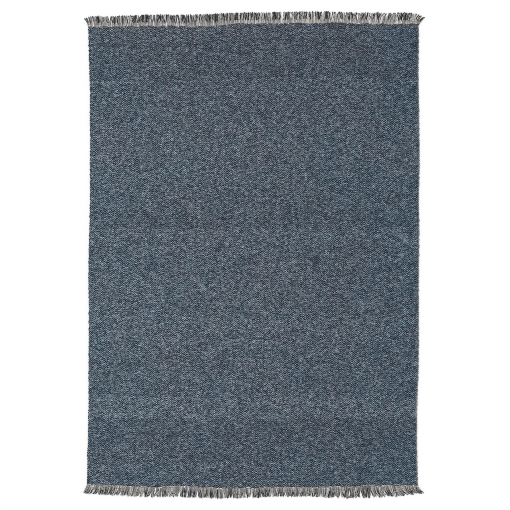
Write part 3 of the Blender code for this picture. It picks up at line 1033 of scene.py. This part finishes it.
def twined_row(side, table, random):
    """The light yarn twined through the warps at the join: short arched turns side by side."""
    turn = (np.arange(TWINING_TURNS) + 0.5) / TWINING_TURNS
    shares = np.linspace(-0.5, 0.5, len(TWINING_SWELL))
    across = np.clip(turn[:, None] + shares * TWINING_OVERLAP / TWINING_TURNS, 0, 1)
    scatter = random.normal(0, TWINING_SCATTER, (TWINING_TURNS, 1))
    depth = TWINING_DEPTH[side] + join_waver(side)[:, None] + shares * TWINING_SLANT + scatter
    x, y = heading_edge(side, table, across, depth)
    z = TWINING_HEIGHT[side] + TWINING_ARCH * np.cos(shares * np.pi) + 0 * depth
    radius = TWINING_RADIUS * random.uniform(*TWINING_SIZES, (TWINING_TURNS, 1)) * np.array(TWINING_SWELL)
    colours = dyed(TWINING_DYES, TWINING_TURNS, random, *TWINING_LIGHT[side])
    return (*tubes(np.stack([x, y, z], axis=-1), radius, radius, TWINING_SIDES), colours)


def heading_strip(side, table, random):
    """The closed strip under the heading's warps: one section across the width, its outer edge ragged.

    The section is a ring of places. Its first ones have the weft's colour, out to a depth that follows
    the join's waver, and from there on the strip is pale, dimmed as painted shade between the yarns above.
    """
    section = np.array(STRIP_SECTION)
    across = np.linspace(0, 1, STRIP_COLUMNS + 1)[:, None]
    ragged = random.uniform(-STRIP_RAGGED, STRIP_RAGGED, (STRIP_COLUMNS + 1, 1))
    depth = HEADING_GAP + (HEADING_DEPTH + ragged - HEADING_GAP) * section[:, 0]
    weft_to = STRIP_WEFT_DEPTH[side] + waver_at(side, across[:, 0])
    weft_to = np.clip(weft_to, 2 * HEADING_GAP, HEADING_DEPTH / 2)
    depth[:, STRIP_WEFT_PLACES - 1] = weft_to
    depth[:, STRIP_WEFT_PLACES] = weft_to + STRIP_WEFT_FADE
    x, y = heading_edge(side, table, across, depth)
    z = STRIP_HEIGHT * section[:, 1] + 0 * depth
    points = np.stack([x, y, z], axis=-1)[None]
    count = len(section)
    rings = np.arange(STRIP_COLUMNS)[:, None] * count
    here, beside = rings + np.arange(count), rings + np.roll(np.arange(count), -1)
    faces = np.stack([here, beside, beside + count, here + count], -1).reshape(-1, 4)
    if side == NEAR:
        faces = faces[:, ::-1]
    faces = faces.tolist()
    caps = [list(range(count))[::-1], (STRIP_COLUMNS * count + np.arange(count)).tolist()]
    faces += [cap if side == FAR else cap[::-1] for cap in caps]
    place = np.zeros(points.shape)
    place[..., 0], place[..., 2] = across * CLOTH_WIDTH, depth
    # The pale dimmed as painted shade seen between the heading's yarns.
    pale = dyed(PALE_DYES[:1], 1, random, STRIP_PAINTED_SHADE[side], STRIP_PAINTED_SHADE[side])
    in_weft = np.arange(count)[:, None] < STRIP_WEFT_PLACES
    colours = np.tile(np.where(in_weft, linear(STRIP_WEFT_DYE), pale), (STRIP_COLUMNS + 1, 1))
    return points.reshape(1, -1, 3), faces, place.reshape(1, -1, 3), colours


def fringe(name, side, table, yarns, seed, material):
    """One end's fringe as one piece: the strip, the twined row on it, and each kind of yarn."""
    random = np.random.default_rng(seed + YARN_SEED_STEP)
    locks = lock_forms(table, seed)
    made = [heading_strip(side, table, random), twined_row(side, table, random)]
    tufts = tuft_forms(side, random)
    made += [loose_yarns(side, table, locks, tufts, kind, random) for kind in yarns]
    faces, colours, places, count = [], [], [], 0
    for points, own_faces, place, own_colours in made:
        size = points.size // 3
        faces += [[corner + count for corner in face] for face in own_faces]
        colours.append(np.repeat(own_colours, size // len(own_colours), axis=0))
        place[..., 2] += random.uniform(0, YARN_PLACE_SPREAD, (len(points), 1))
        places.append(place.reshape(-1, 3))
        count += size
    points = np.concatenate([part[0].reshape(-1, 3) for part in made])
    piece = make_piece(name + "_yarns", points, faces, name, material)
    colours = np.concatenate([np.concatenate(colours), np.ones((count, 1))], axis=1).astype(np.float32)
    colour = piece.data.color_attributes.new("yarn_colour", "FLOAT_COLOR", "POINT")
    colour.data.foreach_set("color", colours.ravel())
    place = piece.data.attributes.new("yarn_place", "FLOAT_VECTOR", "POINT")
    place.data.foreach_set("vector", np.concatenate(places).astype(np.float32).ravel())
    return piece


def floor():
    """A pale floor that the rug lies on."""
    mesh = bpy.data.meshes.new("studio_floor")
    corners = [(x * FLOOR_HALF, y * FLOOR_HALF, 0) for x, y in ((-1, -1), (1, -1), (1, 1), (-1, 1))]
    mesh.from_pydata(corners, [], [(0, 1, 2, 3)])
    plane = bpy.data.objects.new("studio_floor", mesh)
    bpy.context.scene.collection.objects.link(plane)
    material, _, shader = new_material("pale_floor", 1.0, 0.0)
    shader.inputs["Base Color"].default_value = (FLOOR_LIGHT, FLOOR_LIGHT, FLOOR_LIGHT, 1)
    shader.inputs["Specular IOR Level"].default_value = 0.0
    mesh.materials.append(material)


def lights():
    """An even white studio, and a broad soft key from the far left."""
    world = bpy.data.worlds.new("studio")
    bpy.context.scene.world = world
    world.use_nodes = True
    background = world.node_tree.nodes["Background"]
    background.inputs["Color"].default_value = (1, 1, 1, 1)
    background.inputs["Strength"].default_value = STUDIO_STRENGTH
    sun = bpy.data.lights.new("soft_key", "SUN")
    sun.energy = KEY_STRENGTH
    sun.angle = math.radians(KEY_SIZE_DEG)
    lamp = bpy.data.objects.new("soft_key", sun)
    lamp.rotation_euler = [math.radians(turn) for turn in KEY_TURNS_DEG]
    bpy.context.scene.collection.objects.link(lamp)


def camera():
    """Straight above, with the photograph's frame: the rug as large in it, its middle at the same place."""
    data = bpy.data.cameras.new("camera")
    data.lens, data.sensor_width = LENS_MM, SENSOR_MM
    height = PHOTO_PIXELS * METRES_PER_PIXEL * LENS_MM / SENSOR_MM
    middle = PHOTO_PIXELS / 2
    across = (middle - RUG_MIDDLE_PIXEL[0]) * METRES_PER_PIXEL
    along = (RUG_MIDDLE_PIXEL[1] - middle) * METRES_PER_PIXEL
    eye = bpy.data.objects.new("camera", data)
    eye.location = (across, along, height)
    bpy.context.scene.collection.objects.link(eye)
    bpy.context.scene.camera = eye


def main():
    scene = bpy.context.scene
    scene.view_settings.view_transform = "Standard"
    scene.cycles.denoising_prefilter = "NONE"
    scene.cycles.filter_width = FILTER_PIXELS
    field = woven_field(wool_twill())
    yarn = loose_yarn()
    far = fringe("far_fringe", FAR, FAR_FRINGE, FAR_YARNS, FAR_SEED, yarn)
    near = fringe("near_fringe", NEAR, NEAR_FRINGE, NEAR_YARNS, NEAR_SEED, yarn)
    floor()
    lights()
    camera()


main()
